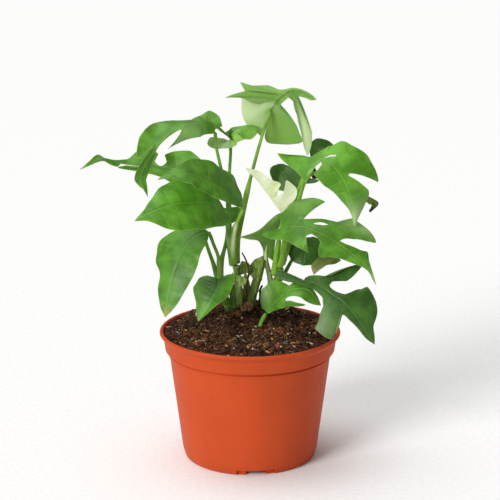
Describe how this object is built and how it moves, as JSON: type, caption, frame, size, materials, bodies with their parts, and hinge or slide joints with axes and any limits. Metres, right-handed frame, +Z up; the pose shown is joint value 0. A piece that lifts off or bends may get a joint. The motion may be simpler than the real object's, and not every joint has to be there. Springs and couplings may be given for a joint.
{
  "type": "potted plant",
  "caption": "Small split-leaf climbing plant: lobed glossy leaves on thin stalks and stems, planted in peat soil in a tapered plastic nursery pot with a rolled rim, collar and notched foot.",
  "frame": {"origin": "centre of the bounding box, at the level the pot's foot stands on; the pot's own axis is parallel to Z and stands 18.1 mm to the +X side of it", "axes": "+Z up, along the pot's axis; +X to the right and -Y towards the viewer in the front view"},
  "size_m": [0.2626, 0.16, 0.3296],
  "materials": {
    "pot": "satin",
    "soil": "rough",
    "leaf_bright": "waxy satin",
    "leaf_deep": "waxy satin",
    "leaf_pale": "matte underside",
    "leaf_young": "soft satin",
    "leaf_olive": "satin",
    "stalk": "satin",
    "stem": "satin",
    "root": "rough",
    "scale": "dull"
  },
  "bodies": {
    "root": {"stem_middle": "stem", "stem_left": "stem", "stem_right": "stem", "stem_far": "stem", "root_front": "root", "root_back": "root", "stalk_upper_left": "stalk", "stalk_small_middle": "stalk", "stalk_far_left": "stalk", "stalk_domed": "stalk", "stalk_heart": "stalk", "stalk_drooping": "stalk", "stalk_small_heart": "stalk", "stalk_top": "stalk", "stalk_upper_right": "stalk", "stalk_back_right": "stalk", "stalk_dark_back": "stalk", "stalk_mid_right": "stalk", "stalk_inner_left": "stalk", "stalk_new": "stalk", "stalk_under_right": "stalk", "stalk_olive": "stalk", "stalk_low_right": "stalk", "stalk_low_centre": "stalk", "stalk_brown_tip": "stalk", "leaf_upper_left": "leaf_bright", "leaf_small_middle": "leaf_bright", "leaf_far_left": "leaf_deep", "leaf_domed": "leaf_deep", "leaf_heart": "leaf_bright", "leaf_drooping": "leaf_bright", "leaf_small_heart": "leaf_bright", "leaf_top": "leaf_pale", "leaf_upper_right": "leaf_bright", "leaf_back_right": "leaf_deep", "leaf_dark_back": "leaf_deep", "leaf_mid_right": "leaf_bright", "leaf_inner_left": "leaf_deep", "leaf_new": "leaf_young", "leaf_under_right": "leaf_deep", "leaf_olive": "leaf_olive", "leaf_low_right": "leaf_deep", "leaf_low_centre": "leaf_bright", "leaf_brown_tip": "leaf_olive", "scale_right": "scale", "scale_middle": "scale", "scale_left": "scale", "scale_inner": "scale", "scale_round": "scale", "scale_papery": "scale", "soil": "soil", "pot": "pot"}
  },
  "joints": []
}
